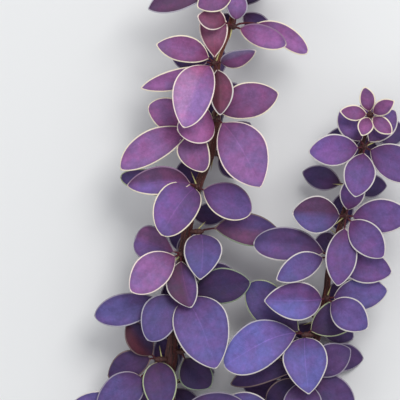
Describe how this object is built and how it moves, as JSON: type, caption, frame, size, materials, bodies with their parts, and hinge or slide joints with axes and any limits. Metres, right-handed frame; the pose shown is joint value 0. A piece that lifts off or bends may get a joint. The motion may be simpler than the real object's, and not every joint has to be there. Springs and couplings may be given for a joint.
{
  "type": "cut branch of japanese barberry",
  "caption": "Cut branch of Japanese barberry with a forked woody stem and whorls of purple leaves edged in cream, lying on its side.",
  "frame": {"origin": "centre of the branch's box on the ground it lies on", "axes": "+Y from the cut end towards the shoots' tips, +Z up from the ground towards the leafy face, +X to the right seen from above with +Y up"},
  "size_m": [0.1193, 0.191, 0.0332],
  "materials": {
    "bark": "dark maroon bark, matt to satin",
    "upper_leaves": "magenta purple blade with a thin cream margin, matt waxy bloom",
    "lower_leaves": "blue violet blade with a thin cream margin, matt waxy bloom",
    "back_leaves": "dark violet blade with a thin greenish margin, matt"
  },
  "bodies": {
    "root": {"main_stem": "bark", "right_shoot": "bark", "leaves_main_tip": "upper_leaves", "leaves_main_1": "upper_leaves", "leaves_main_2": "upper_leaves", "leaves_main_3": "upper_leaves", "leaves_main_4": "upper_leaves", "leaves_main_5": "upper_leaves", "leaves_main_6": "upper_leaves", "leaves_main_7": "lower_leaves", "leaves_main_8": "lower_leaves", "leaves_main_9": "lower_leaves", "leaves_main_10": "lower_leaves", "leaves_main_11": "lower_leaves", "leaves_main_12": "lower_leaves", "leaves_right_tip": "upper_leaves", "leaves_right_1": "upper_leaves", "leaves_right_2": "lower_leaves", "leaves_right_3": "lower_leaves", "leaves_right_4": "lower_leaves", "leaves_right_5": "lower_leaves", "leaves_right_6": "lower_leaves", "leaves_right_7": "lower_leaves", "leaves_main_back_1": "back_leaves", "leaves_main_back_2": "back_leaves", "leaves_main_back_3": "back_leaves", "leaves_main_back_4": "back_leaves", "leaves_main_back_5": "back_leaves", "leaves_main_back_6": "back_leaves", "leaves_main_back_7": "back_leaves", "leaves_right_back_1": "back_leaves", "leaves_right_back_2": "back_leaves", "leaves_right_back_3": "back_leaves", "leaves_right_back_4": "back_leaves", "leaves_right_back_5": "back_leaves", "leaves_right_back_6": "back_leaves"}
  },
  "joints": []
}
